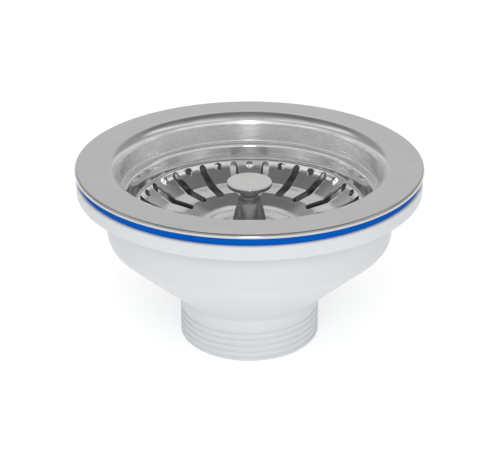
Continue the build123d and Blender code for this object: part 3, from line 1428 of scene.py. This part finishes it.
@dataclass
class Fittings:
    """Inner pieces that keep their CAD shape and take a finish."""

    steel: tuple[str, ...] = ("centre_screw", "stem", "seal_retainer", "stem_nut")
    rubber: tuple[str, ...] = ("screw_washer", "catch_ring", "plug_seal")
    brass: tuple[str, ...] = ("boss_nut",)

    def build(self) -> None:
        """Give each node its finish."""
        finishes = ((self.steel, PLAIN_STEEL), (self.rubber, BLACK_RUBBER), (self.brass, NUT_BRASS))
        for names, finish in finishes:
            material = finish.make()
            for name in names:
                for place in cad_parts[name].material_slots:
                    place.material = material
                LOG.info("%s: CAD mesh in %s", name, material.name)


@dataclass(frozen=True)
class Lamp:
    """One soft box that faces the waste."""

    name: str
    place: tuple[float, float, float]
    size: Point
    power: float
    mirrored: bool
    aim: tuple[float, float, float] = (0.0, 0.0, 0.05)

    def hang(self) -> None:
        """Put the lamp in the scene."""
        data = bpy.data.lights.new(self.name, "AREA")
        data.shape = "RECTANGLE"
        data.size, data.size_y = self.size
        data.energy = self.power
        lamp = link_object(self.name, data)
        lamp.location = self.place
        way = Vector(self.aim) - Vector(self.place)
        lamp.rotation_euler = way.to_track_quat("-Z", "Y").to_euler()
        lamp.visible_glossy = self.mirrored


LAMPS = (
    Lamp("overhead_box", (0.0, 0.0, 2.0), (2.5, 2.5), 18.0, mirrored=False),
    Lamp("front_box", (0.0, -1.3, 0.31), (0.24, 0.38), 1.4, mirrored=True),
    Lamp("key_box", (0.0, -1.4, 1.0), (1.6, 0.35), 7.6, mirrored=False),
)


@dataclass
class Studio:
    """Pale floor, soft surroundings and the photograph's camera."""

    floor_size: float = 6.0
    distance: float = 0.420
    elevation: float = 22.339
    pitch: float = 25.285
    lens: float = 91.41
    sensor: float = 36.0
    side: float = 0.000165
    rungs: tuple[float, ...] = (15.0, 30.0, 45.0, 60.0)
    rung_blend: float = 3.0
    corners: tuple[float, ...] = (22.5, 67.5, 112.5, 157.5)
    corner_blend: float = 8.0
    walls: tuple[tuple[float, ...], ...] = (
        (1.25, 0.62, 0.46, 0.44, 0.24),
        (1.06, 0.34, 0.74, 0.46, 0.22),
        (0.66, 0.34, 0.80, 0.26, 0.15),
        (0.66, 0.30, 0.28, 0.16, 0.15),
        (0.52, 0.50, 0.52, 0.62, 0.17),
    )

    def floor(self) -> None:
        """Lay the floor under the outlet."""
        bm = bmesh.new()
        bmesh.ops.create_grid(bm, x_segments=1, y_segments=1, size=self.floor_size / 2)
        floor = finish_mesh(bm, "floor")
        dress(floor, FLOOR_WHITE.make())

    def wall(self, t: Tree, height: Socket, lights: tuple[float, ...]) -> Socket:
        """Brightness of one side of the room, in soft bands by the angle above the horizon.

        Args:
            t: The tree that takes the nodes.
            height: The sine of the angle.
            lights: The brightness of each band from the horizon upwards.

        Returns:
            The brightness as a colour.
        """
        stops = [(0.0, lights[0])]
        for edge, below, above in zip(self.rungs, lights, lights[1:]):
            stops += [(edge - self.rung_blend, below), (edge + self.rung_blend, above)]
        ramp = t.node("ValToRGB")
        marks = ramp.color_ramp.elements
        while len(marks) < len(stops):
            marks.new(0.5)
        for mark, (angle, light) in zip(marks, stops):
            mark.position = math.sin(math.radians(angle))
            mark.color = (light, light, light, 1.0)
        t.link(height, ramp.inputs[0])
        return ramp.outputs[0]

    def surroundings(self) -> bpy.types.NodeTree:
        """Shader group of the room: walls from the front round to the back, alike on both sides.

        Returns:
            A group with output Light.
        """
        t = Tree("surroundings", TreeKind.SHADER)
        t.give("Light", "Color")
        where = t.node("SeparateXYZ")
        t.link(t.node("TexCoord").outputs["Generated"], where.inputs[0])
        x, y, z = where.outputs
        turn = t.math("ARCTAN2", t.math("ABSOLUTE", x), t.math("MULTIPLY", y, -1.0))
        light = self.wall(t, z, self.walls[0])
        for corner, lights in zip(self.corners, self.walls[1:]):
            start = math.radians(corner - self.corner_blend)
            end = math.radians(corner + self.corner_blend)
            mix = t.node("MixRGB")
            t.link(t.ease(turn, start, end), mix.inputs[0])
            t.link(light, mix.inputs[1])
            t.link(self.wall(t, z, lights), mix.inputs[2])
            light = mix.outputs[0]
        t.link(light, t.sink.inputs["Light"])
        return t.tree

    def room(self) -> None:
        """Light the world by the surroundings."""
        world = bpy.data.worlds.new("studio")
        bpy.context.scene.world = world
        world.use_nodes = True
        nodes = world.node_tree.nodes
        group = nodes.new("ShaderNodeGroup")
        group.node_tree = self.surroundings()
        world.node_tree.links.new(group.outputs[0], nodes["Background"].inputs["Color"])

    def camera(self) -> None:
        """Stand the camera where the photograph was taken from."""
        top = CAD_BOX[1][2]
        rise = math.radians(self.elevation)
        data = bpy.data.cameras.new("camera")
        data.lens = self.lens
        data.sensor_width = self.sensor
        camera = link_object("camera", data)
        camera.location = (self.side, -self.distance * math.cos(rise), top + self.distance * math.sin(rise))
        camera.rotation_euler = (math.radians(90 - self.pitch), 0.0, 0.0)
        bpy.context.scene.camera = camera

    def build(self) -> None:
        """Set up floor, light and camera."""
        bpy.context.scene.view_settings.view_transform = "Standard"
        self.floor()
        self.room()
        for lamp in LAMPS:
            lamp.hang()
        self.camera()


def main() -> None:
    """Build every sub-assembly in order."""
    logging.basicConfig(level=logging.INFO, format="%(name)s: %(message)s")
    spun_grain_group()
    clouding_group()
    copies = ring_of_copies()
    threads = thread_skin()
    StrainerCup().build(copies)
    FlangeGasket().build()
    WasteBody().build(threads)
    Basket().build(copies)
    Knob().build()
    Fittings().build()
    Studio().build()


if __name__ == "__main__":
    main()
